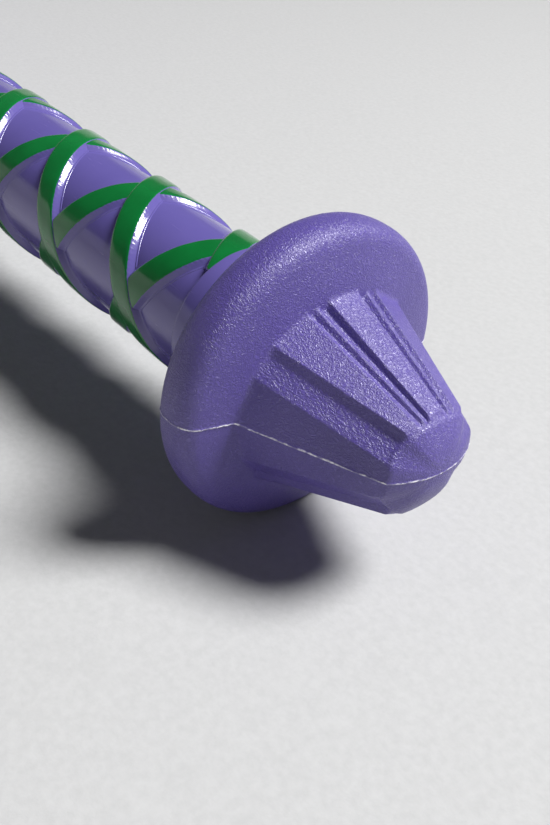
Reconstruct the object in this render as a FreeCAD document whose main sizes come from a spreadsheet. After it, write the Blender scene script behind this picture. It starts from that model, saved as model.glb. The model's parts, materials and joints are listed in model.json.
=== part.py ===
import FreeCAD, Part
import math
import os
import Sketcher

# Juggling club, millimetres.  Every piece is modelled along the club's own axis:
# X runs from the crown (0) to the tip of the knob, and the distance "s" below is that X.
# One rest placement then lays the whole club down on its belly and on the knob's rim.

os.makedirs("parts", exist_ok=True)
doc = FreeCAD.newDocument("juggling_club")
sheet = doc.addObject("Spreadsheet::Sheet", "dims")

SIZES = [
    # crown end
    ("cap_bottom", 8.0),        # top cap sits from 0 to here, then the shell starts
    ("cap_rad", 17.2),
    ("cap_round", 5.0),
    ("cap_well", 4.2),          # depth of the counterbore that hides the screw
    ("cap_well_rad", 7.0),
    ("plug_thick", 1.5),
    ("plug_rad", 6.9),
    ("head_thick", 1.7),
    ("head_rad", 3.4),
    ("shank_rad", 1.7),
    ("hole_rad", 1.9),
    ("washer_thick", 1.0),
    ("washer_rad", 6.4),
    ("crown_screw_end", 32.0),
    # wooden core
    ("core_rad", 6.0),
    ("core_start", 12.0),
    ("core_end", 503.0),
    ("core_chamfer", 0.8),
    ("pilot_rad", 1.75),
    ("pilot_depth", 22.0),
    ("bore_rad", 6.05),         # bore of every part that slides over the core
    # crown bush
    ("crown_bush_rad", 12.0),
    ("crown_bush_end", 20.0),
    ("crown_lip_start", 9.7),
    ("crown_lip_end", 12.0),
    ("crown_lip_rad", 14.6),
    # blow-moulded shell: crown arc, belly arc, then a hollow arc into the neck
    ("mouth_rad", 12.1),
    ("crown_rad", 17.0),
    ("belly_at", 130.0),
    ("belly_rad", 44.0),
    ("crown_arc", 290.0),
    ("belly_arc", 312.0),
    ("waist_at", 231.852),
    ("waist_rad", 26.907),
    ("neck_arc", 221.01),
    ("neck_at", 304.0),
    ("neck_rad", 14.8),
    ("neck_end", 318.0),
    ("neck_bore", 13.05),
    ("neck_bore_at", 296.0),
    ("wall", 1.5),
    # neck ring
    ("ring_start", 307.0),
    ("ring_end", 335.0),
    ("ring_rad", 16.0),
    ("ring_tail", 14.2),
    ("ring_edge", 0.7),
    # handle
    ("sleeve_start", 294.0),
    ("sleeve_end", 492.0),
    ("spigot_rad", 12.9),
    ("lattice_start", 336.0),
    ("lattice_end", 478.4),
    ("panel_fat", 12.3),       # sleeve radius where the lattice starts
    ("panel_slim", 11.65),       # sleeve radius where it ends
    ("collar_rad", 12.9),
    ("sleeve_bore", 9.4),
    ("foam_rad", 9.3),
    ("bush_thick", 12.0),
    ("bush_gap", 0.2),
    # lattice bands: two each way round
    ("lead", 46.6),
    ("band_foot", 7.4),
    ("band_top", 5.2),
    ("band_gap", 0.05),
    ("under_high", 0.9),
    ("over_high", 1.2),
    ("notch_gap", 0.05),
    ("notch_deep", 0.6),
    ("lattice_turn", 90.0),    # angle of one line of crossings, from +Y over +Z
    ("crossing_at", 476.5),     # a crossing on that line
    # knob
    ("rim_at", 495.0),
    ("rim_rad", 25.0),
    ("rim_round", 3.4),
    ("rim_half", 4.4),          # half the thickness of the flange near its rim
    ("knob_back", 489.0),
    ("knob_back_rad", 15.5),
    ("socket_rad", 13.0),
    ("flange_front", 500.4),
    ("flange_front_rad", 16.4),
    ("core_cone_tip", 519.5),
    ("core_cone_tip_rad", 6.9),
    ("knob_tip", 523.8),
    ("tip_flat_rad", 3.6),
    ("nose_base", 499.6),
    ("nose_end", 521.4),
    ("nose_shrink", 0.471),
    # section of the nose at its base, one quarter of it
    ("side_wide", 17.75),
    ("edge_wide", 15.35),
    ("edge_tall", 7.2),
    ("foot_wide", 13.0),
    ("foot_tall", 9.9),
    ("land_wide", 12.45),
    ("land_tall", 11.45),
    ("step_wide", 6.8),
    ("step_tall", 15.0),
    ("flute_wide", 6.15),
    ("flute_tall", 14.6),
    ("middle_foot", 3.4),
    ("middle_wide", 2.8),
    ("middle_tall", 16.05),
    # knob anchor
    ("anchor_neck_rad", 9.2),
    ("anchor_lip_at", 497.0),
    ("anchor_lip_end", 500.5),
    ("anchor_lip_rad", 10.6),
    ("anchor_end", 507.0),
    ("anchor_end_rad", 8.0),
    ("cavity_gap", 0.15),
    ("cavity_end", 511.0),
    ("anchor_washer_rad", 5.0),
    ("anchor_screw_start", 485.0),
]
for row, (alias, number) in enumerate(SIZES, 1):
    sheet.set("A%d" % row, alias)
    sheet.set("B%d" % row, str(number))
    sheet.setAlias("B%d" % row, alias)
doc.recompute()

FLAT = 1e-9
pieces = []


def size(words):
    """Value of a sum of sheet names such as 'belly_rad - wall'."""
    total, sign = 0.0, 1.0
    for word in words.split():
        if word in "+-":
            sign = 1.0 if word == "+" else -1.0
        else:
            total += sign * float(sheet.get(word))
    return total


def bound(words):
    """The same sum as an expression that reads the sheet."""
    return " ".join(w if w in "+-" else "dims." + w for w in words.split())


def new_body(label):
    body = doc.addObject("PartDesign::Body", label)
    body.Label = label
    pieces.append(body)
    return body


def origin_plane(body, role):
    return [f for f in body.Origin.OriginFeatures if f.Role == role][0]


def place_vertex(sketch, geo, pos, axis, words):
    """Ties one coordinate of one vertex to the sheet (axis 0 is x, 1 is y)."""
    number = size(words) if words else 0.0
    if abs(number) < FLAT:
        sketch.addConstraint(Sketcher.Constraint("PointOnObject", geo, pos, -2 if axis == 0 else -1))
        return
    kind = "DistanceX" if axis == 0 else "DistanceY"
    name = "%s%d" % ("xy"[axis], sketch.ConstraintCount)
    index = sketch.addConstraint(Sketcher.Constraint(kind, -1, 1, geo, pos, number))
    sketch.renameConstraint(index, name)
    sketch.setExpression("Constraints." + name, "(%s)" % bound(words))


def arc_between(start, end, radius):
    """Arc from start to end; its centre is on the left for a positive radius."""
    chord = end - start
    left = FreeCAD.Vector(-chord.y, chord.x, 0).normalize()
    reach = math.sqrt(radius * radius - chord.Length ** 2 / 4)
    centre = (start + end) * 0.5 + left * (reach if radius > 0 else -reach)
    first, last = (start, end) if radius > 0 else (end, start)
    angles = [math.atan2(p.y - centre.y, p.x - centre.x) for p in (first, last)]
    if angles[1] < angles[0]:
        angles[1] += 2 * math.pi
    circle = Part.Circle(centre, FreeCAD.Vector(0, 0, 1), abs(radius))
    return Part.ArcOfCircle(circle, angles[0], angles[1])


def outline(body, name, corners):
    """Closed half section on the XZ plane.  A corner is (s, r) or (s, r, side, radius):
    then an arc of that radius leads to the next corner, bulging left (-) or right (+)."""
    sketch = body.newObject("Sketcher::SketchObject", name)
    sketch.AttachmentSupport = [(origin_plane(body, "XZ_Plane"), "")]
    sketch.MapMode = "FlatFace"
    points = [FreeCAD.Vector(size(c[0]), size(c[1]) if c[1] else 0.0, 0) for c in corners]
    ends = []
    for i, corner in enumerate(corners):
        start, end = points[i], points[(i + 1) % len(points)]
        if len(corner) == 2:
            geo = sketch.addGeometry(Part.LineSegment(start, end), False)
            ends.append((geo, 1, 2))
            continue
        side, words = corner[2:]
        radius = size(words) * (1 if side == "+" else -1)
        geo = sketch.addGeometry(arc_between(start, end, radius), False)
        ends.append((geo, 1, 2) if radius > 0 else (geo, 2, 1))
        index = sketch.addConstraint(Sketcher.Constraint("Radius", geo, abs(radius)))
        sketch.renameConstraint(index, "rad%d" % i)
        sketch.setExpression("Constraints.rad%d" % i, bound(words))
    for i, (geo, first, last) in enumerate(ends):
        after = ends[(i + 1) % len(ends)]
        sketch.addConstraint(Sketcher.Constraint("Coincident", geo, last, after[0], after[1]))
    for (geo, first, last), corner in zip(ends, corners):
        place_vertex(sketch, geo, first, 0, corner[0])
        place_vertex(sketch, geo, first, 1, corner[1])
    return sketch


def turned(label, corners):
    """A body turned about the club's axis from one closed half section."""
    body = new_body(label)
    sketch = outline(body, label + "_section", corners)
    turn = body.newObject("PartDesign::Revolution", label + "_turn")
    turn.Profile = sketch
    turn.ReferenceAxis = (sketch, ["H_Axis"])
    turn.Angle = 360
    sketch.Visibility = False
    return body


def tube(label, start, end, inner, outer):
    return turned(label, [(start, inner), (end, inner), (end, outer), (start, outer)])


# ---- crown end: cap, screw, washer, plug, bush -----------------------------------------

def make_crown():
    turned("top_cap", [
        ("cap_bottom", "hole_rad"), ("cap_bottom", "cap_rad"),
        ("cap_round", "cap_rad", "+", "cap_round"), ("", "cap_rad - cap_round"),
        ("", "cap_well_rad"), ("cap_well", "cap_well_rad"),
        ("cap_well", "hole_rad")])
    tube("top_cap_washer", "cap_well - washer_thick", "cap_well", "hole_rad", "washer_rad")
    turned("top_cap_screw", [
        ("cap_well - washer_thick - head_thick", ""), ("crown_screw_end", ""),
        ("crown_screw_end - shank_rad", "shank_rad"), ("cap_well - washer_thick", "shank_rad"),
        ("cap_well - washer_thick", "head_rad"),
        ("cap_well - washer_thick - head_thick", "head_rad - core_chamfer")])
    turned("top_cap_plug", [
        ("", ""), ("plug_thick", ""), ("plug_thick", "plug_rad"), ("", "plug_rad")])
    turned("crown_bush", [
        ("cap_bottom", "hole_rad"), ("core_start", "hole_rad"), ("core_start", "bore_rad"),
        ("crown_bush_end", "bore_rad"), ("crown_bush_end", "crown_bush_rad"),
        ("crown_lip_end", "crown_bush_rad"), ("crown_lip_end", "crown_lip_rad"),
        ("crown_lip_start", "crown_lip_rad"), ("crown_lip_start", "crown_bush_rad"),
        ("cap_bottom", "crown_bush_rad")])


# ---- wooden core through the whole club ------------------------------------------------

def make_core():
    turned("core_dowel", [
        ("core_start", "pilot_rad"), ("core_start + pilot_depth", "pilot_rad"),
        ("core_start + pilot_depth", ""), ("core_end - pilot_depth", ""),
        ("core_end - pilot_depth", "pilot_rad"), ("core_end", "pilot_rad"),
        ("core_end", "core_rad - core_chamfer"), ("core_end - core_chamfer", "core_rad"),
        ("core_start + core_chamfer", "core_rad"), ("core_start", "core_rad - core_chamfer")])


# ---- hollow blow-moulded body and the ring that closes its neck ------------------------

def make_shell():
    turned("body_shell", [
        ("cap_bottom", "mouth_rad"), ("cap_bottom + wall", "mouth_rad"),
        ("cap_bottom + wall", "crown_rad - wall", "-", "crown_arc"),
        ("belly_at", "belly_rad - wall", "-", "belly_arc"),
        ("waist_at", "waist_rad - wall", "+", "neck_arc"),
        ("neck_bore_at", "neck_bore"), ("neck_end", "neck_bore"), ("neck_end", "neck_rad"),
        ("neck_at", "neck_rad", "-", "neck_arc"), ("waist_at", "waist_rad", "+", "belly_arc"),
        ("belly_at", "belly_rad", "+", "crown_arc"), ("cap_bottom", "crown_rad")])
    turned("neck_ring", [
        ("ring_start", "neck_rad + band_gap"), ("neck_end + band_gap", "neck_rad + band_gap"),
        ("neck_end + band_gap", "spigot_rad + band_gap"), ("ring_end", "spigot_rad + band_gap"),
        ("ring_end", "ring_tail"), ("neck_end", "ring_rad"), ("ring_start + ring_edge", "ring_rad"),
        ("ring_start", "ring_rad - ring_edge")])


# ---- handle: bushes and foam on the core, moulded sleeve, lattice bands ----------------

def make_handle():
    tube("handle_bush_upper", "sleeve_start", "sleeve_start + bush_thick", "bore_rad", "foam_rad")
    tube("handle_foam", "sleeve_start + bush_thick + bush_gap", "sleeve_end - bush_thick - bush_gap",
         "bore_rad", "foam_rad")
    tube("handle_bush_lower", "sleeve_end - bush_thick", "sleeve_end", "bore_rad", "foam_rad")
    turned("handle_sleeve", [
        ("sleeve_start", "sleeve_bore"), ("sleeve_end", "sleeve_bore"), ("sleeve_end", "collar_rad"),
        ("lattice_end", "collar_rad"), ("lattice_end", "panel_slim"), ("lattice_start", "panel_fat"),
        ("lattice_start", "spigot_rad"), ("sleeve_start", "spigot_rad")])


def panel_radius(s):
    share = (s - size("lattice_start")) / (size("lattice_end") - size("lattice_start"))
    return size("panel_fat") + (size("panel_slim") - size("panel_fat")) * share


def helix_strip(hand, number, high, low, notch=0.0):
    """Strip wound round the sleeve, lofted through sections 15 degrees apart.
    Its section is a trapezium in the plane of the axis: wide foot, narrower top.
    Low is where the section starts, so that a notch tool can reach below the foot."""
    spare = size("band_foot")
    start = size("lattice_start") - spare
    end = size("lattice_end") + spare
    count = int((end - start) / size("lead") * 24)
    foot, top = size("band_foot") / 2, size("band_top") / 2
    slope = (foot - top) / high
    bottom, roof = foot - slope * low + notch, top - slope * notch + notch
    sections = []
    for i in range(count + 1):
        s = start + (end - start) * i / count
        turn = size("lattice_turn") + hand * 360 * (s - size("crossing_at")) / size("lead") + 180 * number
        angle = math.radians(turn)
        corners = [(s - bottom, low), (s + bottom, low), (s + roof, high + notch), (s - roof, high + notch)]
        ring = []
        for along, height in corners:
            r = panel_radius(along) + size("band_gap") + height
            ring.append(FreeCAD.Vector(along, r * math.cos(angle), r * math.sin(angle)))
        sections.append(Part.makePolygon(ring + [ring[0]]))
    return Part.makeLoft(sections, True, False)


def make_lattice():
    length = size("lattice_end") - size("lattice_start")
    field = Part.makeCylinder(size("rim_rad"), length, FreeCAD.Vector(size("lattice_start"), 0, 0),
                              FreeCAD.Vector(1, 0, 0))
    # the notch tools reach below the sleeve surface, so that no two faces coincide
    tools = [helix_strip(-1, k, size("under_high"), -size("notch_deep"), size("notch_gap")) for k in range(2)]
    for k in range(2):
        under = helix_strip(-1, k, size("under_high"), 0.0).common(field)
        add_shape("lattice_band_under_%d" % (k + 1), under)
        over = helix_strip(1, k, size("over_high"), 0.0).common(field)
        for tool in tools:
            over = over.cut(tool)
        add_shape("lattice_band_over_%d" % (k + 1), over)


def add_shape(label, shape):
    """Keeps a shape that has no sketch-based feature, such as a wound strip."""
    piece = doc.addObject("Part::Feature", label)
    piece.Label = label
    piece.Shape = shape.Solids[0] if len(shape.Solids) == 1 else shape
    pieces.append(piece)


# ---- knob and the plug it snaps over ---------------------------------------------------

def nose_section(body, name, station, factor):
    """Closed fluted section on a plane across the axis, mirrored into four quarters."""
    quarter = [("edge_wide", "edge_tall"), ("foot_wide", "foot_tall"), ("land_wide", "land_tall"),
               ("step_wide", "step_tall"), ("flute_wide", "flute_tall"), ("middle_foot", "flute_tall"),
               ("middle_wide", "middle_tall")]
    corners = [("side_wide", "", 1, 1)]
    corners += [(w, t, 1, 1) for w, t in quarter]
    corners += [(w, t, -1, 1) for w, t in reversed(quarter)]
    corners += [("side_wide", "", -1, 1)]
    corners += [(w, t, -1, -1) for w, t in quarter]
    corners += [(w, t, 1, -1) for w, t in reversed(quarter)]
    shrink = size(factor) if factor else 1.0
    sketch = body.newObject("Sketcher::SketchObject", name)
    sketch.AttachmentSupport = [(origin_plane(body, "YZ_Plane"), "")]
    sketch.MapMode = "FlatFace"
    sketch.AttachmentOffset = FreeCAD.Placement(FreeCAD.Vector(0, 0, size(station)), FreeCAD.Rotation())
    sketch.setExpression("AttachmentOffset.Base.z", bound(station))
    points = [FreeCAD.Vector(x * size(w) * shrink, y * (size(t) if t else 0.0) * shrink, 0)
              for w, t, x, y in corners]
    for i, point in enumerate(points):
        sketch.addGeometry(Part.LineSegment(point, points[(i + 1) % len(points)]), False)
    for i in range(len(points)):
        sketch.addConstraint(Sketcher.Constraint("Coincident", i, 2, (i + 1) % len(points), 1))
    scale = "dims.%s * " % factor if factor else ""
    for i, (w, t, x, y) in enumerate(corners):
        tie_scaled(sketch, i, "DistanceX", x, w, shrink, scale)
        if t:
            tie_scaled(sketch, i, "DistanceY", y, t, shrink, scale)
        else:
            sketch.addConstraint(Sketcher.Constraint("PointOnObject", i, 1, -1))
    return sketch


def tie_scaled(sketch, geo, kind, sign, alias, shrink, scale):
    name = "%s%d" % (kind[-1].lower(), geo)
    number = sign * size(alias) * shrink
    index = sketch.addConstraint(Sketcher.Constraint(kind, -1, 1, geo, 1, number))
    sketch.renameConstraint(index, name)
    sketch.setExpression("Constraints." + name, "%d * %sdims.%s" % (sign, scale, alias))


def make_knob():
    knob = turned("knob", [
        ("knob_back", ""), ("knob_back", "knob_back_rad"),
        ("rim_at - rim_half", "rim_rad - rim_round", "-", "rim_round"),
        ("rim_at - rim_half + rim_round", "rim_rad"),
        ("rim_at + rim_half - rim_round", "rim_rad", "-", "rim_round"),
        ("rim_at + rim_half", "rim_rad - rim_round"),
        ("flange_front", "flange_front_rad"), ("core_cone_tip", "core_cone_tip_rad"),
        ("knob_tip", "tip_flat_rad"), ("knob_tip", "")])
    base = nose_section(knob, "nose_base_section", "nose_base", "")
    tip = nose_section(knob, "nose_tip_section", "nose_end", "nose_shrink")
    loft = knob.newObject("PartDesign::AdditiveLoft", "fluted_nose")
    loft.Profile = base
    loft.Sections = [tip]
    loft.Ruled = True
    knob.Tip = loft
    doc.recompute()
    solid_volume = knob.Shape.Volume
    gap = "cavity_gap"
    section = outline(knob, "cavity_section", [
        ("knob_back - shank_rad", ""), ("cavity_end", ""), ("cavity_end", "anchor_end_rad + " + gap),
        ("anchor_end", "anchor_end_rad + " + gap), ("anchor_lip_end", "anchor_lip_rad + " + gap),
        ("anchor_lip_at - " + gap, "anchor_lip_rad + " + gap),
        ("anchor_lip_at - " + gap, "anchor_neck_rad + " + gap),
        ("sleeve_end", "anchor_neck_rad + " + gap), ("sleeve_end", "socket_rad"),
        ("knob_back - shank_rad", "socket_rad")])
    cavity = knob.newObject("PartDesign::Groove", "anchor_cavity")
    cavity.Profile = section
    cavity.ReferenceAxis = (section, ["H_Axis"])
    cavity.Angle = 360
    knob.Tip = cavity
    doc.recompute()
    print("knob volume before and after its cavity", round(solid_volume), round(knob.Shape.Volume))


def make_anchor():
    turned("knob_anchor", [
        ("sleeve_end", "bore_rad"), ("core_end", "bore_rad"), ("core_end", "hole_rad"),
        ("anchor_end", "hole_rad"), ("anchor_end", "anchor_end_rad"),
        ("anchor_lip_end", "anchor_lip_rad"), ("anchor_lip_at", "anchor_lip_rad"),
        ("anchor_lip_at", "anchor_neck_rad"), ("sleeve_end", "anchor_neck_rad")])
    tube("knob_anchor_washer", "anchor_end", "anchor_end + washer_thick", "hole_rad", "anchor_washer_rad")
    turned("knob_anchor_screw", [
        ("anchor_screw_start", ""), ("anchor_end + washer_thick + head_thick", ""),
        ("anchor_end + washer_thick + head_thick", "head_rad - core_chamfer"),
        ("anchor_end + washer_thick", "head_rad"), ("anchor_end + washer_thick", "shank_rad"),
        ("anchor_screw_start + shank_rad", "shank_rad")])


def rest_placement():
    """Lays the club on its belly arc and on the rim of the knob: one line touches both circles.
    The line's outward normal leans towards the knob by an angle found from the two centres."""
    run = size("rim_at + rim_half - rim_round") - size("belly_at")
    rise = size("rim_rad - rim_round") - size("belly_rad - belly_arc")
    short = size("belly_arc") - size("rim_round")
    lean = math.asin(short / math.hypot(run, rise)) - math.atan2(rise, run)
    turn = FreeCAD.Rotation(FreeCAD.Vector(0, 1, 0), math.degrees(lean))
    laid = FreeCAD.BoundBox()
    for piece in pieces:
        shape = piece.Shape.copy()
        shape.Placement = FreeCAD.Placement(FreeCAD.Vector(), turn).multiply(shape.Placement)
        laid.add(shape.optimalBoundingBox(False, False))
    middle = FreeCAD.Vector(-laid.Center.x, -laid.Center.y, -laid.ZMin)
    print("lean in degrees", round(math.degrees(lean), 4), "move", tuple(round(v, 4) for v in middle),
          "box", round(laid.XLength, 2), round(laid.YLength, 2), round(laid.ZLength, 2))
    return FreeCAD.Placement(middle, turn)


make_crown()
make_core()
make_shell()
make_handle()
make_lattice()
make_knob()
make_anchor()
doc.recompute()

placement = rest_placement()
for piece in pieces:
    piece.Placement = placement
doc.recompute()

for item in doc.Objects:
    if "Invalid" in item.State or "Error" in item.State:
        raise RuntimeError("object failed: " + item.Label)
for piece in pieces:
    if piece.Shape.isNull() or not piece.Shape.isValid():
        raise RuntimeError("bad shape: " + piece.Label)
    piece.Shape.exportStep("parts/%s.step" % piece.Label)
    print("%-24s volume %9.1f solids %d" % (piece.Label, piece.Shape.Volume, len(piece.Shape.Solids)))
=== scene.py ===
# %% [markdown]
# # A juggling club, seen from its knob
# A stage club is a light, hollow plastic body on a wooden dowel, with a wrapped or moulded handle
# and a soft knob at the thin end. The knob and the handle are what a juggler sees and touches, so
# they get most of the work here: a fluted moulding with leathery grain, and a glossy handle with a
# raised green lattice. We start by loading the measured parts, which say where everything is.

# %% Load the measured club
import json
import math

import bpy
import numpy as np
from mathutils import Matrix, Vector


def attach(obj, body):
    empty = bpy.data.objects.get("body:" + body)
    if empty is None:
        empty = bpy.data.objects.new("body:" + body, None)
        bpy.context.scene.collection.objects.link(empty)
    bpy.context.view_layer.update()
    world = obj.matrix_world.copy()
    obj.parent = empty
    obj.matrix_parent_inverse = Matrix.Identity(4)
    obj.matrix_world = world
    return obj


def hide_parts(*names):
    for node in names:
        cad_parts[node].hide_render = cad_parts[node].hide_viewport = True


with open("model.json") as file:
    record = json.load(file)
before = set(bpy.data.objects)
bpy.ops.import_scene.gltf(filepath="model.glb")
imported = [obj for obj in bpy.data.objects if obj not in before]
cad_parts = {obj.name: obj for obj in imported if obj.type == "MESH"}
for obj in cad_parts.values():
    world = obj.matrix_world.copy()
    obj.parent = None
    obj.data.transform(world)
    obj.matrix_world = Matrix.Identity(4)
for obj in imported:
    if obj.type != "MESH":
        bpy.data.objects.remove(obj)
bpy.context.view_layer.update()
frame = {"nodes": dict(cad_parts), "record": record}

print("loaded", len(frame["nodes"]), "measured parts")

# %% [markdown]
# ## The club's own line
# The club lies tilted, resting on its belly and on the rim of its knob. It is far easier to shape a
# turned object upright on its own line, so every piece is worked out as distance along the club,
# sideways and up, in millimetres. One function then lays the points down where the club rests.

# %% Lay points down along the club
marks = {mount["name"]: mount for mount in frame["record"]["mounts"]}
ALONG = np.array(marks["grip"]["axis"], float)
ALONG /= np.linalg.norm(ALONG)
SIDEWAYS = np.array([0.0, 1.0, 0.0])
UPWARDS = np.cross(ALONG, SIDEWAYS)
CROWN = np.array(marks["crown_face"]["pos_m"], float)
LEAN = math.atan2(-ALONG[2], ALONG[0])
MM = 0.001


def laid_down(points):
    """Crown point, plus distance along the club, sideways and up, each times its own direction."""
    return CROWN + MM * (points @ np.stack([ALONG, SIDEWAYS, UPWARDS]))


print("the club leans", round(math.degrees(LEAN), 2), "degrees down towards its knob")

# %% [markdown]
# ## Skins
# Every new piece is a skin: a sheet of points in rows and columns, joined to its neighbours by
# four-sided faces. Columns run round and meet. Rows either close on themselves, as on a tube with a
# wall, or end in a pole. The volume inside tells which way the faces look, so that a skin that came
# out inside out is simply turned round.

# %% Make a skin from rows and columns
def skin(name, grid, closed_rows=False, tags=()):
    """Faces join point (row, column) to the next row and column; a pole is the middle of an end row."""
    rows, columns = grid.shape[:2]
    number = np.arange(rows * columns).reshape(rows, columns)
    upper, lower = number, np.roll(number, -1, 0)
    if not closed_rows:
        upper, lower = upper[:-1], lower[:-1]
    quads = np.stack([upper, np.roll(upper, -1, 1), np.roll(lower, -1, 1), lower], -1).reshape(-1, 4)
    points = laid_down(grid.reshape(-1, 3))
    fans = np.zeros((0, 3), int)
    if not closed_rows:
        poles = laid_down(np.stack([grid[0].mean(0), grid[-1].mean(0)]))
        first, last = rows * columns, rows * columns + 1
        top, bottom = number[0], number[-1]
        fans = np.concatenate([
            np.stack([np.full(columns, first), np.roll(top, -1), top], -1),
            np.stack([np.full(columns, last), bottom, np.roll(bottom, -1)], -1)])
        points = np.concatenate([points, poles])
    triangles = np.concatenate([quads[:, [0, 1, 2]], quads[:, [0, 2, 3]], fans])
    a, b, c = (points[triangles[:, k]] for k in range(3))
    if np.einsum("ij,ij->", a, np.cross(b, c)) < 0:
        quads, fans = quads[:, ::-1], fans[:, ::-1]
    mesh = bpy.data.meshes.new(name)
    mesh.vertices.add(len(points))
    mesh.vertices.foreach_set("co", points.astype(np.float32).ravel())
    corners = np.concatenate([quads.ravel(), fans.ravel()]).astype(np.int32)
    starts = np.concatenate([np.arange(len(quads)) * 4, len(quads) * 4 + np.arange(len(fans)) * 3])
    mesh.loops.add(len(corners))
    mesh.loops.foreach_set("vertex_index", corners)
    mesh.polygons.add(len(starts))
    mesh.polygons.foreach_set("loop_start", starts.astype(np.int32))
    mesh.polygons.foreach_set("use_smooth", np.ones(len(starts), bool))
    for tag, value in dict(tags).items():
        full = np.zeros(len(points), np.float32)
        full[:rows * columns] = np.broadcast_to(value, (rows, columns)).ravel()
        mesh.attributes.new(tag, "FLOAT", "POINT").data.foreach_set("value", full)
    mesh.update(calc_edges=True)
    mesh.validate()
    piece = bpy.data.objects.new(name, mesh)
    bpy.context.scene.collection.objects.link(piece)
    print("made", name, "with", len(quads) * 2 + len(fans), "triangles")
    return piece


# %% [markdown]
# ## Turned pieces
# Most of the club is round: a body blown in a mould, a moulded sleeve, a cap and a ring. Each is a
# profile carried round the club's line, so one function serves them all. Moulded edges are never
# quite sharp, so a second function softens a profile's corners before it goes round.

# %% Carry a profile round the club's line
def turned(name, profile, columns, closed_rows=True, swell=None):
    """Each (distance, radius) of the profile goes round in a circle; swell adds height on the way."""
    profile = np.asarray(profile, float)
    turn = np.linspace(0, 2 * np.pi, columns, endpoint=False)
    reach = np.repeat(profile[:, 1:], columns, 1)
    if swell is not None:
        reach = reach + swell(profile[:, :1], turn[None], reach)
    far = np.repeat(profile[:, :1], columns, 1)
    return skin(name, np.stack([far, reach * np.cos(turn), reach * np.sin(turn)], -1), closed_rows)


def rounded(corners, radius, step):
    """A closed line, cut short by the radius at each corner, where a curve of second degree joins it."""
    corners = np.asarray(corners, float)
    last, following = np.roll(corners, 1, 0), np.roll(corners, -1, 0)
    drawn = []
    for before, here, after in zip(last, corners, following):
        back, on = before - here, after - here
        back_length, on_length = np.linalg.norm(back), np.linalg.norm(on)
        start = here + back * (min(radius, back_length * 0.45) / back_length)
        end = here + on * (min(radius, on_length * 0.45) / on_length)
        t = np.linspace(0, 1, 6)[:, None]
        drawn.append((1 - t) ** 2 * start + 2 * t * (1 - t) * here + t ** 2 * end)
    line = []
    for here, after in zip(drawn, drawn[1:] + drawn[:1]):
        gap = np.linalg.norm(after[0] - here[-1])
        between = np.linspace(0, 1, max(2, int(gap / step) + 1))[1:-1, None]
        line += [here, here[-1] + between * (after[0] - here[-1])]
    return np.concatenate(line)


# %% [markdown]
# ## Paint shop
# A finish is a small network of nodes. A few helpers keep the networks readable: the first adds a
# node and fills in its sockets, and the second gives every finish the same start, which is the point
# on the object, turned so that it reads along the club, sideways and up.

# %% Helpers for finishes
def node(tree, kind, sockets=(), **settings):
    """Adds a node; a socket is either joined to another node's socket or given a value."""
    made = tree.nodes.new(kind)
    for key, value in settings.items():
        setattr(made, key, value)
    for key, value in dict(sockets).items():
        if isinstance(value, bpy.types.NodeSocket):
            tree.links.new(value, made.inputs[key])
        else:
            made.inputs[key].default_value = value
    return made


def new_finish(name):
    """A named finish with its shader, and the point on the club, in metres along, sideways and up."""
    finish = bpy.data.materials.new(name)
    finish.use_nodes = True
    tree = finish.node_tree
    tree.nodes.clear()
    out = tree.nodes.new("ShaderNodeOutputMaterial")
    shader = tree.nodes.new("ShaderNodeBsdfPrincipled")
    tree.links.new(shader.outputs[0], out.inputs["Surface"])
    where = node(tree, "ShaderNodeTexCoord")
    unlean = Matrix.Rotation(-LEAN, 3, "Y")
    crown = -(unlean @ Vector(CROWN))
    along = node(tree, "ShaderNodeMapping", {"Vector": where.outputs["Object"],
                 "Rotation": (0, -LEAN, 0), "Location": crown})
    return finish, tree, shader, along.outputs[0]


def mixed(tree, amount, first, second):
    """First colour where amount is 0, second where it is 1."""
    made = node(tree, "ShaderNodeMix", data_type="RGBA")
    for socket, value in ((made.inputs[0], amount), (made.inputs[6], first), (made.inputs[7], second)):
        if isinstance(value, bpy.types.NodeSocket):
            tree.links.new(value, socket)
        else:
            socket.default_value = value if isinstance(value, float) else (*value, 1)
    return made.outputs[2]


def spread(tree, value, low, high, to_low=0.0, to_high=1.0):
    """A value between low and high, stretched to run between two others and held there."""
    return node(tree, "ShaderNodeMapRange", {"Value": value, "From Min": low, "From Max": high,
                "To Min": to_low, "To Max": to_high}).outputs[0]


def noise(tree, where, size_mm, detail=3.0, rough=0.55, wander=0.0, stretch=(1, 1, 1)):
    """Cloudy noise whose features are about size_mm wide, longer where stretch is under 1."""
    shaped = node(tree, "ShaderNodeMapping", {"Vector": where, "Scale": stretch}).outputs[0]
    return node(tree, "ShaderNodeTexNoise", {
        "Vector": shaped, "Scale": 1000.0 / size_mm, "Detail": detail,
        "Roughness": rough, "Distortion": wander}).outputs["Fac"]


def bumped(tree, shader, height, depth_mm, strength):
    """Raises the surface by height times a depth in millimetres."""
    made = node(tree, "ShaderNodeBump", {"Height": height, "Distance": depth_mm * MM, "Strength": strength})
    tree.links.new(made.outputs[0], shader.inputs["Normal"])


def sums(tree, operation, first, second=0.0):
    """One sum on two values or sockets."""
    return node(tree, "ShaderNodeMath", {0: first, 1: second}, operation=operation).outputs[0]


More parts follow.
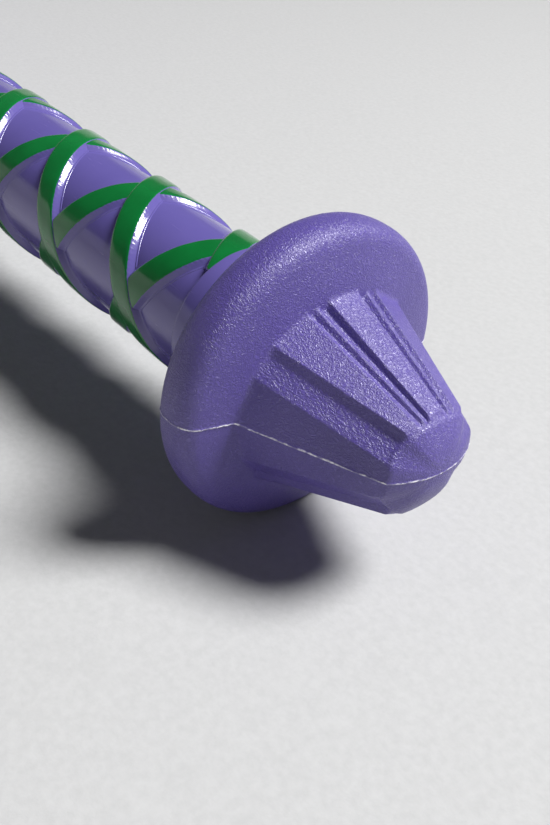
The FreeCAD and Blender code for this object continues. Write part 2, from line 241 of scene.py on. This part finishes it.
def parting_highlight_mask(tree, where, half_mm=0.17, wander_mm=0.26):
    """1 along the level where the halves of the mould met, broken up as a torn thread of plastic is; it
    masks a painted highlight.
    """
    height = node(tree, "ShaderNodeSeparateXYZ", {0: where}).outputs["Z"]
    cloudy = sums(tree, "SUBTRACT", noise(tree, where, 3.0, 4.0, 0.7), 0.5)
    sway = sums(tree, "MULTIPLY", cloudy, wander_mm * MM * 2)
    away = sums(tree, "ABSOLUTE", sums(tree, "ADD", height, sway))
    line = spread(tree, away, half_mm * MM, half_mm * MM * 0.4)
    torn = spread(tree, noise(tree, where, 1.1, 2.0, 0.6), 0.40, 0.58, 0.15, 1.0)
    return sums(tree, "MULTIPLY", line, torn)


print("helpers ready")

# %% [markdown]
# ## Finish: soft violet moulding
# The knob and the crown cap are moulded in a soft, satin plastic. The mould was etched, which leaves
# a leathery grain of wrinkles about half a millimetre wide. Two layers of noise make the grain, a
# third makes the tone a little cloudy, and a pale, torn line along the parting plane is a painted
# highlight on the thread where the mould parted.

# %% Soft violet moulding
GRAIN_MM, PORE_MM, GRAIN_DEEP_MM = 0.46, 0.22, 0.052
# Colour of the painted highlight along the mould's thread.
THREAD_HIGHLIGHT = (0.86, 0.84, 0.90)


def violet_moulding(name, base, light, thread_highlight=True):
    """Wrinkles are noise folded at its middle level; they set the sheen, a painted highlight on their crests
    and the relief.
    """
    finish, tree, shader, where = new_finish(name)
    cloudy = noise(tree, where, GRAIN_MM, 2.0, 0.55, 0.6, (0.75, 1, 1))
    wrinkles = spread(tree, sums(tree, "ABSOLUTE", sums(tree, "SUBTRACT", cloudy, 0.5)), 0.0, 0.14)
    pores = noise(tree, where, PORE_MM, 2.0, 0.5)
    patches = noise(tree, where, 14.0, 3.0, 0.5)
    tone = mixed(tree, spread(tree, patches, 0.3, 0.7), base, light)
    # Painted highlight: the raised crests of the wrinkles are painted up to a quarter lighter.
    crest_highlight_colour = tuple(channel * 1.5 + 0.02 for channel in light)
    colour_with_highlights = mixed(tree, spread(tree, wrinkles, 0.5, 1.0, 0.0, 0.25), tone, crest_highlight_colour)
    # Painted highlight: a pale, torn line along the parting plane.
    if thread_highlight:
        colour_with_highlights = mixed(tree, parting_highlight_mask(tree, where), colour_with_highlights, THREAD_HIGHLIGHT)
    tree.links.new(colour_with_highlights, shader.inputs["Base Color"])
    tree.links.new(spread(tree, wrinkles, 0.1, 0.9, 0.44, 0.34), shader.inputs["Roughness"])
    shader.inputs["Specular IOR Level"].default_value = 0.8
    grain = sums(tree, "ADD", wrinkles, sums(tree, "MULTIPLY", pores, 1.2))
    bumped(tree, shader, grain, GRAIN_DEEP_MM, 1.0)
    return finish


knob_violet = violet_moulding("knob_violet_satin", (0.076, 0.053, 0.255), (0.097, 0.069, 0.302))
cap_violet = violet_moulding("cap_violet_satin", (0.078, 0.055, 0.255), (0.099, 0.071, 0.300), thread_highlight=False)
print("finished", knob_violet.name, "and", cap_violet.name)

# %% [markdown]
# ## Finish: glossy purple and glossy green
# The handle and the body are blow-moulded in a shiny plastic. It is nearly smooth, with a faint
# orange-peel ripple and fine handling scratches. The lattice is the same plastic with green on its
# lands: a tag painted on the band's mesh says how much green a point gets, so the colour stops at
# the shoulder, where the real film was trimmed.

# %% Glossy plastics
RIPPLE_MM, SCRATCH_MM = 2.6, 0.5


def glossy_plastic(name, base, light, rough=0.17, thread_highlight=False):
    """Cloudy tone, a painted highlight on the mould's seam when asked, roughness from long scratches, and a
    relief of ripple and scratches.
    """
    finish, tree, shader, where = new_finish(name)
    clouds = noise(tree, where, 18.0, 3.0, 0.5)
    ripple = noise(tree, where, RIPPLE_MM, 2.0, 0.5)
    scratches = noise(tree, where, SCRATCH_MM, 3.0, 0.6, 0.4, (0.06, 1, 1))
    tone = mixed(tree, spread(tree, clouds, 0.3, 0.7), base, light)
    if thread_highlight:
        # Painted highlight: the seam along the parting plane is painted paler, at half strength.
        seam_highlight = parting_highlight_mask(tree, where, 0.2)
        tone = mixed(tree, sums(tree, "MULTIPLY", seam_highlight, 0.5), tone, (0.5, 0.45, 0.62))
    tree.links.new(tone, shader.inputs["Base Color"])
    tree.links.new(spread(tree, scratches, 0.45, 0.75, rough, rough + 0.13), shader.inputs["Roughness"])
    shader.inputs["Specular IOR Level"].default_value = 0.55
    shader.inputs["Coat Weight"].default_value = 0.35
    shader.inputs["Coat Roughness"].default_value = 0.12
    height = sums(tree, "ADD", ripple, sums(tree, "MULTIPLY", scratches, 0.12))
    bumped(tree, shader, height, 0.05, 0.35)
    return finish, tree, shader, where, tone


handle_purple = glossy_plastic("handle_purple_gloss", (0.102, 0.082, 0.300), (0.125, 0.100, 0.340))[0]
body_purple = glossy_plastic("body_purple_gloss", (0.092, 0.072, 0.285), (0.113, 0.089, 0.325), 0.2, True)[0]


def lattice_gloss(name):
    """Glossy plastic whose colour goes from purple to green with the tag green_land."""
    finish, tree, shader, where, purple = glossy_plastic(
        name, (0.106, 0.086, 0.305), (0.130, 0.104, 0.345), 0.15)
    land = node(tree, "ShaderNodeAttribute", attribute_name="green_land").outputs["Fac"]
    fray = sums(tree, "SUBTRACT", noise(tree, where, 0.5, 2.0), 0.5)
    ragged = sums(tree, "ADD", land, sums(tree, "MULTIPLY", fray, 0.5))
    clouds = spread(tree, noise(tree, where, 9.0, 3.0), 0.3, 0.7)
    green = mixed(tree, clouds, (0.001, 0.118, 0.022), (0.002, 0.165, 0.032))
    colour = mixed(tree, spread(tree, ragged, 0.42, 0.58), purple, green)
    tree.links.new(colour, shader.inputs["Base Color"])
    teeth = node(tree, "ShaderNodeAttribute", attribute_name="milled_edge").outputs["Fac"]
    height = sums(tree, "ADD", teeth, sums(tree, "MULTIPLY", noise(tree, where, RIPPLE_MM, 2.0), 0.5))
    bumped(tree, shader, height, 0.04, 0.7)
    return finish


lattice_green = lattice_gloss("lattice_green_gloss")
print("finished", handle_purple.name, body_purple.name, lattice_green.name)

# %% [markdown]
# ## Finish: rubber, wood, nylon, foam and steel
# The neck ring is rubber. The other materials are inside the club and only show when it is taken
# apart, but a part in a library is looked at from inside too, so each gets its own grain.

# %% Rubber and the materials inside
def plain_finish(name, base, light, rough, grain_mm, stretch=(1, 1, 1), depth_mm=0.05, metal=0.0):
    """One layer of grain sets the tone, the roughness and the relief."""
    finish, tree, shader, where = new_finish(name)
    grain = noise(tree, where, grain_mm, 4.0, 0.6, 0.5, stretch)
    tree.links.new(mixed(tree, spread(tree, grain, 0.35, 0.65), base, light), shader.inputs["Base Color"])
    tree.links.new(spread(tree, grain, 0.3, 0.7, rough, rough + 0.12), shader.inputs["Roughness"])
    shader.inputs["Metallic"].default_value = metal
    bumped(tree, shader, grain, depth_mm, 0.6)
    return finish


ring_green = plain_finish("ring_green_rubber", (0.003, 0.078, 0.027), (0.005, 0.108, 0.038), 0.45, 0.6,
                          depth_mm=0.07)
core_wood = plain_finish("core_beech", (0.42, 0.24, 0.11), (0.58, 0.37, 0.19), 0.5, 2.2, (0.04, 1, 1))
nylon_white = plain_finish("bush_nylon", (0.62, 0.61, 0.57), (0.70, 0.69, 0.66), 0.35, 3.0)
foam_grey = plain_finish("handle_foam_grey", (0.10, 0.10, 0.11), (0.22, 0.22, 0.23), 0.85, 0.8, depth_mm=0.4)
screw_steel = plain_finish("zinc_steel", (0.55, 0.56, 0.58), (0.70, 0.71, 0.73), 0.25, 0.7, (0.15, 1, 1),
                           depth_mm=0.01, metal=1.0)
INSIDE = {"core_dowel": core_wood, "crown_bush": nylon_white, "handle_bush_upper": nylon_white,
          "handle_bush_lower": nylon_white, "knob_anchor": nylon_white, "handle_foam": foam_grey,
          "top_cap_screw": screw_steel, "top_cap_washer": screw_steel, "knob_anchor_screw": screw_steel,
          "knob_anchor_washer": screw_steel}
for part_name, finish in INSIDE.items():
    part = frame["nodes"][part_name]
    part.data.materials.clear()
    part.data.materials.append(finish)
print("painted", len(INSIDE), "inner parts")


def stands_for(piece, finish, slot, *parts):
    """The piece gets its finish, rides on the club and is shown instead of the measured parts."""
    piece.data.materials.append(finish)
    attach(piece, "root")
    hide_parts(*parts)


# %% [markdown]
# ## The knob: one moulding from rim to nose
# The knob is a thick round flange with a fluted nose. Seen end on, the nose is a six-sided block cut
# by flutes. The flutes run to one point far beyond the tip, so there the section at the tip is the
# base section made smaller. The corners at the sides keep more of their width, and have their own
# places at the tip. That makes the nose a surface of two parameters: where we are round the section,
# and how far along. The section is a chain of straight edges, softened as a mould softens them, and
# more columns go where its edges are. Below the parting plane the nose is a little deeper.

# %% The nose's section, one quarter, mirrored to all four
NOSE_BASE, NOSE_END, NOSE_TIP = 499.6, 521.5, 523.8
NOSE_SHRINK = 0.471
QUARTER = np.array([
    (17.75, 0.0),    # edge on the parting line
    (15.35, 7.2),    # lower edge of the narrow land
    (13.0, 9.9),     # foot of the steep wall
    (12.45, 11.45),  # wide land begins
    (6.8, 15.0),     # wide land ends
    (6.15, 14.4),    # shallow valley
    (5.8, 14.4),
    (5.2, 15.3),     # thin rib
    (4.75, 15.35),
    (4.0, 14.65),    # floor of the flute
    (3.4, 14.7),
    (2.8, 16.05),    # raised middle land
    (0.0, 16.2),
])
tip_quarter = QUARTER * NOSE_SHRINK
tip_quarter[:5] = (8.4, 0.0), (8.05, 2.6), (5.4, 4.9), (5.2, 6.5), (3.6, 7.0)
plain_quarter = tip_quarter.copy()
plain_quarter[2:4] = (6.0, 4.9), (5.0, 6.0)
plain_quarter[4:, 1] = 6.75 + 0.35 * (1 - (plain_quarter[4:, 0] / plain_quarter[4, 0]) ** 2)


def whole_section(quarter, deeper):
    """The quarter, its mirror image across the upright plane, and both again below, a bit deeper."""
    upper = np.concatenate([quarter, quarter[-2::-1] * (-1, 1)])
    return np.concatenate([upper, upper[-2:0:-1] * (1, -deeper)])


FINE, KNOB_COLUMNS = 0.03, 560
BASE_DEEPER, TIP_DEEPER = 1.05, 1.13
base_loop = whole_section(QUARTER, 1.0)
steps = np.linalg.norm(np.roll(base_loop, -1, 0) - base_loop, axis=1)
corner_at = np.concatenate([[0], np.cumsum(steps)])
round_length = corner_at[-1]
fine_at = np.arange(0, round_length, FINE)


def softened(loop, softness):
    """The loop sampled finely by its base length, then blurred round by a bell curve of that width in mm."""
    closed = np.concatenate([loop, loop[:1]])
    fine = np.stack([np.interp(fine_at, corner_at, closed[:, k]) for k in (0, 1)], -1)
    away = np.minimum(np.arange(len(fine)), len(fine) - np.arange(len(fine))) * FINE
    bell = np.exp(-0.5 * (away / softness) ** 2)
    return np.real(np.fft.ifft(np.fft.fft(fine, axis=0) * np.fft.fft(bell / bell.sum())[:, None], axis=0))


def crowd(place, width):
    """Bell curve of the way round the section from a place, which may be counted across the join."""
    gap = (fine_at - place + round_length / 2) % round_length - round_length / 2
    return np.exp(-(gap / width) ** 2)


crowding = 1 + sum(3.0 * crowd(corner, 0.45) for corner in corner_at[:-1])
for thread_at in (0, round_length / 2):
    crowding += 9 * crowd(thread_at, 0.4)
share = np.cumsum(crowding) / crowding.sum()
evenly = (np.arange(KNOB_COLUMNS) + 0.5) / KNOB_COLUMNS
chosen = np.interp(evenly, share, np.arange(len(fine_at))).astype(int)
base_section, tip_section, plain_section = (
    softened(whole_section(quarter, deeper), soft)[chosen] for quarter, deeper, soft in (
        (QUARTER, BASE_DEEPER, 0.13), (tip_quarter, TIP_DEEPER, 0.16), (plain_quarter, TIP_DEEPER, 0.85)))
print("nose section is", round(round_length, 1), "mm round at its base")

# %% [markdown]
# ## Flange, nose and dome as one skin
# Along the club, the rows go from the hollow inside out to the back of the flange, over the rim, in
# across the gently domed front, round a small fillet, along the nose, and over the blunt tip. Near
# the end the flutes run out: the section is blended into a plain one over the last millimetre, which
# gives the lands their tongue-like ends.

# %% The knob's rows
RIM_AT, RIM_RAD, RIM_EDGE = 495.0, 25.0, 22.5
RIM_SKIN, RIM_CORNER_AT = RIM_RAD - 0.1, RIM_AT + 3.25
HALF_THICK, FRONT_SLOPE, FRONT_FLATTENING = 3.24, 0.33, 0.008
FILLET, FOOT_INSET, DOME_INSET, DOME_POWER = 0.45, 0.985, 0.985, 2.1
angle = np.arctan2(base_section[:, 1], base_section[:, 0])


def circle_row(far, radius):
    """A round row at that distance, its points at the section's own angles."""
    flat = np.ones(KNOB_COLUMNS)
    return np.stack([far * flat, radius * np.cos(angle), radius * np.sin(angle)], -1)


def front_height(radius):
    """Half thickness of the flange's front: a cone that flattens a little towards the middle."""
    inwards = RIM_RAD - radius
    return HALF_THICK + FRONT_SLOPE * inwards - FRONT_FLATTENING * inwards ** 2


def corner_rows(start, corner, end, count=14):
    """Round rows along a curve of second degree, from start to end, pulled towards the corner."""
    t = np.linspace(0, 1, count)[:, None]
    line = (1 - t) ** 2 * np.array(start) + 2 * t * (1 - t) * np.array(corner) + t ** 2 * np.array(end)
    return [circle_row(far, radius) for far, radius in line]


def smooth(value, low, high):
    """0 below low and 1 above high, with a third-degree step between them."""
    t = np.clip((value - low) / (high - low), 0, 1)
    return t * t * (3 - 2 * t)


SHORTER, SHORT_HEIGHT, SHORT_WIDTH = 0.7, 4.0, 1.6
end_far = NOSE_END - SHORTER * np.exp(-((np.abs(tip_section[:, 1]) - SHORT_HEIGHT) / SHORT_WIDTH) ** 2)


def nose_row(far):
    """Base section shrinking evenly along the nose, blended into the plain section where the flutes end."""
    w = (far - NOSE_BASE) / (NOSE_END - NOSE_BASE)
    fluted = base_section * (1 - w) + tip_section * w
    grown = plain_section + base_section * (1 - w) * (1 - NOSE_SHRINK) * 0.8
    blend = smooth(far, end_far[:, None] - 1.25, end_far[:, None] - 0.25)
    return fluted * (1 - blend) + grown * blend


inside_and_back = (
    (511.0, 2.0), (511.0, 6.0), (511.0, 8.0), (509.0, 8.15), (507.0, 8.15), (503.8, 9.45), (500.5, 10.75),
    (498.6, 10.75), (496.85, 10.75), (496.85, 9.35), (494.5, 9.35), (492.0, 9.35), (492.0, 11.0),
    (492.0, 12.8), (491.8, 13.0), (490.6, 13.0), (489.3, 13.0), (489.0, 13.2), (489.0, 14.3),
    (489.0, 15.3), (489.15, 15.9), (489.7, 17.8), (490.2, 19.9))
rows = [circle_row(far, radius) for far, radius in inside_and_back]
rows += corner_rows((490.6, 21.2), (490.9, RIM_SKIN), (494.7, RIM_SKIN))
rim_front = (RIM_AT + front_height(RIM_EDGE), RIM_EDGE)
rows += corner_rows((495.3, RIM_SKIN), (RIM_CORNER_AT, RIM_SKIN), rim_front, 18)
foot_radius = np.hypot(*base_section.T) * FOOT_INSET
for share_in in np.linspace(0, 1, 17)[1:]:
    radius = RIM_EDGE * (1 - share_in) + (foot_radius + FILLET) * share_in
    rows.append(circle_row(RIM_AT + front_height(radius), radius))
foot_far = RIM_AT + front_height(foot_radius)
nose_far = foot_far + FILLET
start, middle = rows[-1], circle_row(foot_far, foot_radius)
end = np.concatenate([nose_far[:, None], nose_row(nose_far[:, None])], 1)
for t in np.linspace(0, 1, 8)[1:]:
    rows.append((1 - t) ** 2 * start + 2 * t * (1 - t) * middle + t ** 2 * end)
for t in np.sin(np.linspace(0, np.pi / 2, 46))[1:]:
    far = nose_far * (1 - t) + (end_far - 0.2) * t
    rows.append(np.concatenate([far[:, None], nose_row(far[:, None])], 1))
tip_row = rows[-1][:, 1:]
for t in np.linspace(1, 0.04, 22):
    far = end_far + (NOSE_TIP - end_far) * (1 - t ** DOME_POWER)
    rows.append(np.concatenate([far[:, None], tip_row * t * DOME_INSET], 1))
knob_grid = np.stack(rows)
print("the knob has", len(rows), "rows of", KNOB_COLUMNS, "points")

# %% [markdown]
# ## The thread left by the mould
# Where the two halves of a mould meet, plastic creeps out and leaves a thin raised thread. It is real
# geometry here: outside points near the parting plane are pushed out by up to 0.15 mm, with a
# bell-shaped profile and an uneven height along the way.

# %% Raise the thread and finish the knob
def thread_height(far, reach, aside, half=0.16, high=0.15):
    """Bell curve of the height above the parting plane, uneven along the line by a few mixed waves."""
    uneven = 0.65 + 0.35 * np.sin(far * 5.1 + 2 * np.sin(far * 1.7)) * np.sin(reach * 7.3 + far)
    return high * uneven * np.exp(-(aside / half) ** 2)


outside = slice(len(inside_and_back) + 1, None)
flat = knob_grid[outside]
across = np.gradient(flat, axis=0)
around = np.roll(flat, -1, 1) - np.roll(flat, 1, 1)
normal = np.cross(around, across)
normal /= np.maximum(np.linalg.norm(normal, axis=-1, keepdims=True), 1e-9)
normal *= np.sign((normal[10] * (flat[10] - (RIM_AT, 0, 0))).sum())
lift = thread_height(flat[..., 0], np.abs(flat[..., 1]), flat[..., 2])
knob_grid[outside] = flat + normal * lift[..., None]
knob = skin("knob_moulding", knob_grid)
stands_for(knob, knob_violet, "knob_violet", "knob")

# %% [markdown]
# ## The handle
# The handle is a tube that tapers slightly, with a plain collar where it enters the knob. Its
# profile is a closed loop, so the wall has a real thickness, and each corner is rounded the way a
# blow-moulded edge is.

# %% Turn the handle
LATTICE_START, LATTICE_END = 336.0, 478.4
PANEL_FAT, PANEL_SLIM = 12.3, 11.65
SLEEVE_START, SLEEVE_END, SLEEVE_RAD, SLEEVE_BORE = 294.0, 492.0, 12.9, 9.4


def panel_radius(far):
    """Radius between the bands: a straight taper from the neck to the knob."""
    return PANEL_FAT + (PANEL_SLIM - PANEL_FAT) * (far - LATTICE_START) / (LATTICE_END - LATTICE_START)


handle_line = rounded([
    (SLEEVE_START, SLEEVE_RAD), (LATTICE_START, SLEEVE_RAD), (LATTICE_START, PANEL_FAT),
    (LATTICE_END - 0.2, PANEL_SLIM), (LATTICE_END + 0.1, SLEEVE_RAD), (SLEEVE_END, SLEEVE_RAD),
    (SLEEVE_END, SLEEVE_BORE), (SLEEVE_START, SLEEVE_BORE)], 0.45, 1.2)
handle = turned("handle_grip", handle_line, 256)
stands_for(handle, handle_purple, "handle_purple", "handle_sleeve")

# %% [markdown]
# ## The lattice
# Two raised bands wind one way and two the other, and one pair lies on top where they cross.
# A band is a cross-section carried along a helix: the first parameter is how far along the club its
# middle is, the second is how far across the band we are. The cross-section has a flat land, a round
# shoulder, a sloping flank, and a fine bead at the foot, where the mould's insert left a line. Fine
# teeth run along the shoulder, and the green of the land stops there.

# %% Carry the band's section along its helix
LEAD, CROSSING_AT, LINE_TURN = 46.6, 476.5, 90.0
BAND_HIGH = {"over": 1.2, "under": 0.95}
SHOULDER_AT, TOOTH_MM = 2.65, 0.85


def band_section():
    """(distance across, share of the height) from edge to edge, in millimetres across."""
    half = [(0.0, 1.0), (1.1, 1.0), (2.0, 0.99), (2.3, 0.96), (2.5, 0.90), (2.65, 0.80), (2.8, 0.68),
            (3.1, 0.42), (3.35, 0.22), (3.5, 0.11), (3.6, 0.07), (3.68, 0.09), (3.76, 0.10), (3.84, 0.07),
            (3.92, 0.0), (3.95, -0.25), (2.5, -0.45)]
    right = np.array(half)
    return np.concatenate([right[:0:-1] * (-1, 1), right])


def lattice_band(kind, start_turn, way):
    """Angle grows evenly with distance, one turn per lead; the section's offset is added along the club."""
    section = band_section()
    middle = np.arange(LATTICE_START - 2.2, LATTICE_END + 2.2, 0.15)[:, None]
    turn = np.radians(LINE_TURN + start_turn + way * 360 * (middle - CROSSING_AT) / LEAD)
    far = middle + section[None, :, 0]
    high = BAND_HIGH[kind]
    waver = 0.012 * np.sin(middle * 2.9) * (section[None, :, 1] > 0.5)
    reach = panel_radius(far) + high * section[None, :, 1] + waver
    offset = np.abs(section[None, :, 0])
    land = 1 - smooth(offset, 2.25, 2.85)
    shoulder = np.exp(-((section[None, :, 0] - SHOULDER_AT) / 0.35) ** 2)
    path = middle * math.hypot(1, 2 * math.pi * SLEEVE_RAD / LEAD)
    teeth = shoulder * (0.5 + 0.5 * np.sin(path * 2 * np.pi / TOOTH_MM))
    grid = np.stack([far, reach * np.cos(turn), reach * np.sin(turn)], -1)
    return grid, {"green_land": land, "milled_edge": teeth}


for kind, way in (("under", -1), ("over", 1)):
    for count in (1, 2):
        grid, tags = lattice_band(kind, 180.0 * (count - 1), way)
        band = skin(f"grip_band_{kind}_{count}", grid, False, tags)
        stands_for(band, lattice_green, "lattice_green", f"lattice_band_{kind}_{count}")

# %% [markdown]
# ## The body
# The body is one blow-moulded shell. Its outline is three arcs: from the crown to the belly, from
# the belly down, and a hollow one into the neck. The profile runs down the outside and back up the
# inside, a wall's thickness in. The same thin thread as on the knob runs down both sides.

# %% Turn the body shell
CROWN_ARC, BELLY_ARC, NECK_ARC = 290.0, 312.0, 221.01
BELLY_AT, BELLY_RAD, WAIST_AT, NECK_AT, NECK_RAD, NECK_END = 130.0, 44.0, 231.852, 304.0, 14.8, 318.0
CROWN_END, CROWN_ROUND, CROWN_BORE = 8.0, 0.6, 12.1
WALL, SLEEVE_SEAT_AT, SLEEVE_SEAT_RAD = 1.5, 296, 13.05


def body_radius(far):
    """Height of each arc above the club's line, and the plain neck after them."""
    crown = BELLY_RAD - CROWN_ARC + np.sqrt(CROWN_ARC ** 2 - (far - BELLY_AT) ** 2)
    belly = BELLY_RAD - BELLY_ARC + np.sqrt(BELLY_ARC ** 2 - (far - BELLY_AT) ** 2)
    neck = NECK_RAD + NECK_ARC - np.sqrt(NECK_ARC ** 2 - np.minimum(NECK_AT - far, 200) ** 2)
    return np.select([far < BELLY_AT, far < WAIST_AT, far < NECK_AT], [crown, belly, neck], NECK_RAD)


edge = np.linspace(0.2, np.pi / 2, 5)
edge_far = CROWN_END + CROWN_ROUND * (1 - np.cos(edge))
outer_far = np.concatenate([edge_far, np.linspace(9.2, NECK_END - 0.4, 190)])
outer_rad = body_radius(outer_far)
outer_rad[:5] -= CROWN_ROUND * (1 - np.sin(edge))
inner_far = np.linspace(NECK_END, 9.7, 90)
inner_rad = np.where(inner_far > SLEEVE_SEAT_AT, SLEEVE_SEAT_RAD, body_radius(inner_far) - WALL)
mouth = [(9.7, CROWN_BORE), (CROWN_END, CROWN_BORE), (CROWN_END, 14.5)]
body_line = np.concatenate([np.stack([outer_far, outer_rad], -1), [(NECK_END, NECK_RAD - 0.4)],
                            np.stack([inner_far, inner_rad], -1), mouth])


def body_thread(far, turn, reach):
    """The mould's thread on the outside only, where the angle meets the parting plane."""
    outer = np.arange(len(far))[:, None] < len(outer_far)
    return outer * thread_height(far, reach, reach * np.sin(turn), 0.7, 0.10)


body = turned("body_blown_shell", body_line, 288, swell=body_thread)
stands_for(body, body_purple, "body_purple", "body_shell")

# %% [markdown]
# ## Neck ring and crown cap
# The ring is rubber, stretched over the joint of neck and handle, with three shallow grooves that
# let it flex. The cap is a soft bumper. It sits on the crown and takes the drops, so its edge is
# round, and a plug hides the screw that holds it.

# %% Turn the ring, the cap and its plug
RING_FAT, RING_SLIM = 16.0, 14.2
GROOVES_AT, GROOVE_DEEP, GROOVE_WIDE = (314.0, 318.5, 323.0), 0.35, 0.75
CAP_ROUND, CAP_CENTRE = 5, 12.2


def ring_outside(far):
    """A taper that starts and ends gently, less a bell curve for each of three shallow grooves."""
    taper = RING_FAT + (RING_SLIM - RING_FAT) * smooth(far, 309.0, 335.0)
    grooves = sum(GROOVE_DEEP * np.exp(-((far - middle) / GROOVE_WIDE) ** 2) for middle in GROOVES_AT)
    return taper - grooves


ring_far = np.linspace(307.7, 334.4, 90)
ring_line = np.concatenate([
    [(307.0, 14.9), (307.0, 15.2), (307.1, 15.6), (307.35, 15.88)],
    np.stack([ring_far, ring_outside(ring_far)], -1),
    [(334.75, 14.05), (335.0, 13.75), (335.0, 12.95), (318.1, 12.95), (318.1, 14.85)]])
ring = turned("neck_ring_rubber", ring_line, 160)
stands_for(ring, ring_green, "ring_green", "neck_ring")

edge = np.radians(np.linspace(0, 90, 14))
cap_line = np.concatenate([
    [(8.0, 1.9), (8.0, 9.0), (8.0, 16.9), (7.8, 17.2), (6.4, 17.2)],
    np.stack([CAP_ROUND - CAP_ROUND * np.sin(edge), CAP_CENTRE + CAP_ROUND * np.cos(edge)], -1),
    [(0.0, 10.0), (0.0, 7.35), (0.25, 7.0), (2.0, 7.0), (4.2, 7.0), (4.2, 4.0), (4.2, 1.9), (6.0, 1.9)]])
cap = turned("crown_cap", cap_line, 160)
stands_for(cap, cap_violet, "cap_violet", "top_cap")
plug_line = np.array([(1.5, 0.4), (1.5, 4.0), (1.5, 6.6), (1.3, 6.9), (0.35, 6.9), (0.1, 6.8), (0.0, 6.55),
                      (0.0, 5.0), (0.05, 4.8), (0.3, 4.4), (0.4, 4.0), (0.4, 0.4)])
plug = turned("crown_plug", plug_line, 96, closed_rows=False)
stands_for(plug, cap_violet, "cap_violet", "top_cap_plug")

# %% [markdown]
# ## The floor
# The club lies on a plain pale floor, such as a wide roll of paper makes in a studio. It is flat for
# five metres round the club and then curves up, so that no edge shows behind the club.

# %% Lay the floor
FLOOR_FLAT, FLOOR_REACH, FLOOR_RISE = 5.0, 9.0, 2.2


def floor_points(out, turn):
    """Flat up to a radius, then rising with the square of the way beyond it."""
    beyond = np.maximum(out - FLOOR_FLAT, 0) / (FLOOR_REACH - FLOOR_FLAT)
    return np.stack([out * np.cos(turn), out * np.sin(turn), FLOOR_RISE * beyond ** 2], -1)


rings, spokes = np.append(0.0, np.linspace(1, FLOOR_REACH, 24)), np.linspace(0, 2 * np.pi, 96)
out, turn = np.meshgrid(rings, spokes, indexing="ij")
number = np.arange(out.size).reshape(out.shape)
floor_faces = np.stack([number[:-1, :-1], number[1:, :-1], number[1:, 1:], number[:-1, 1:]], -1)
floor_mesh = bpy.data.meshes.new("floor")
floor_mesh.from_pydata(
    floor_points(out, turn).reshape(-1, 3).tolist(), [], floor_faces.reshape(-1, 4).tolist())
floor_mesh.validate()
floor_mesh.shade_smooth()
floor = bpy.data.objects.new("floor", floor_mesh)
bpy.context.scene.collection.objects.link(floor)
paper, tree, shader, where = new_finish("pale_paper")
speck = noise(tree, where, 1.4, 3.0, 0.6)
pale = mixed(tree, spread(tree, speck, 0.3, 0.7), (0.44, 0.44, 0.44), (0.48, 0.48, 0.48))
tree.links.new(pale, shader.inputs["Base Color"])
shader.inputs["Roughness"].default_value = 0.85
bumped(tree, shader, speck, 0.12, 0.4)
floor_mesh.materials.append(paper)
print("laid the floor,", 2 * FLOOR_REACH, "m across")

# %% [markdown]
# ## The lamps
# A soft lamp hangs close to the knob, high and beyond it, so that the upper lands shine. Broad light
# as from a window comes from the same side and leaves the undersides in shade. A weak wide lamp and
# a faint even light fill the shadows, and that wide lamp is kept out of the reflections.

# %% Hang the lamps
KNOB_MIDDLE = laid_down(np.array([500.0, 0, 0]))


def lamp(name, kind, power, offset, **settings):
    """A lamp at an offset in metres from the knob's middle, turned to shine on it."""
    light = bpy.data.lights.new(name, kind)
    light.energy = power
    for key, value in settings.items():
        setattr(light, key, value)
    holder = bpy.data.objects.new(name, light)
    bpy.context.scene.collection.objects.link(holder)
    back = offset / np.linalg.norm(offset)
    right = np.cross((0, 0, 1.0), back)
    right /= np.linalg.norm(right)
    turn = np.stack([right, np.cross(back, right), back], 1)
    holder.matrix_world = Matrix.Translation(KNOB_MIDDLE + offset) @ Matrix(turn.tolist()).to_4x4()
    return holder


KEY_DIRECTION, FILL_OFFSET = np.array([0.36, 0.42, 0.83]), np.array([0.5, -1.3, 1.0])
lamp("key_lamp", "AREA", 7.0, 0.95 * KEY_DIRECTION, shape="DISK", size=0.40)
lamp("window_light", "SUN", 3.4, 3.0 * KEY_DIRECTION, angle=math.radians(22))
lamp("fill_lamp", "AREA", 0.4, FILL_OFFSET, shape="DISK", size=1.2).visible_glossy = False
world = bpy.data.worlds.new("studio_air")
world.use_nodes = True
world.node_tree.nodes["Background"].inputs["Color"].default_value = (0.9, 0.92, 1.0, 1)
world.node_tree.nodes["Background"].inputs["Strength"].default_value = 0.06
bpy.context.scene.world = world
bpy.context.scene.view_settings.view_transform = "Standard"

# %% [markdown]
# ## The camera
# The camera is close and looks down on the knob from its front left, with the handle running away
# to the upper left. Its place and its three directions are given in the club's own terms, then laid
# down like everything else.

# %% Place the camera
CAMERA_AT = np.array([583.33, -92.37, 82.89])
LENS_MM, SENSOR_MM = 43.6363636, 36.0
ABOVE, ROUND, ROLL = (math.radians(a) for a in (35.624, 44.821, 8.044))
back = np.array([math.cos(ABOVE) * math.cos(ROUND), -math.cos(ABOVE) * math.sin(ROUND), math.sin(ABOVE)])
level = np.cross((0, 0, 1.0), back)
level /= np.linalg.norm(level)
lifted = np.cross(back, level)
right = math.cos(ROLL) * level + math.sin(ROLL) * lifted
above = -math.sin(ROLL) * level + math.cos(ROLL) * lifted
directions = np.stack([right, above, back]) @ np.stack([ALONG, SIDEWAYS, UPWARDS])
camera = bpy.data.cameras.new("close_camera")
camera.sensor_width, camera.lens = SENSOR_MM, LENS_MM
camera.clip_start, camera.clip_end = 0.01, 50.0
viewer = bpy.data.objects.new("close_camera", camera)
bpy.context.scene.collection.objects.link(viewer)
viewer.matrix_world = Matrix.Translation(laid_down(CAMERA_AT)) @ Matrix(directions.T.tolist()).to_4x4()
bpy.context.scene.camera = viewer
print("camera at", [round(value, 3) for value in viewer.matrix_world.translation])

# %% [markdown]
# ## The size
# The new skins must fill the same space as the measured parts. The scene is brought up to date.

# %% Bring the scene up to date
bpy.context.view_layer.update()
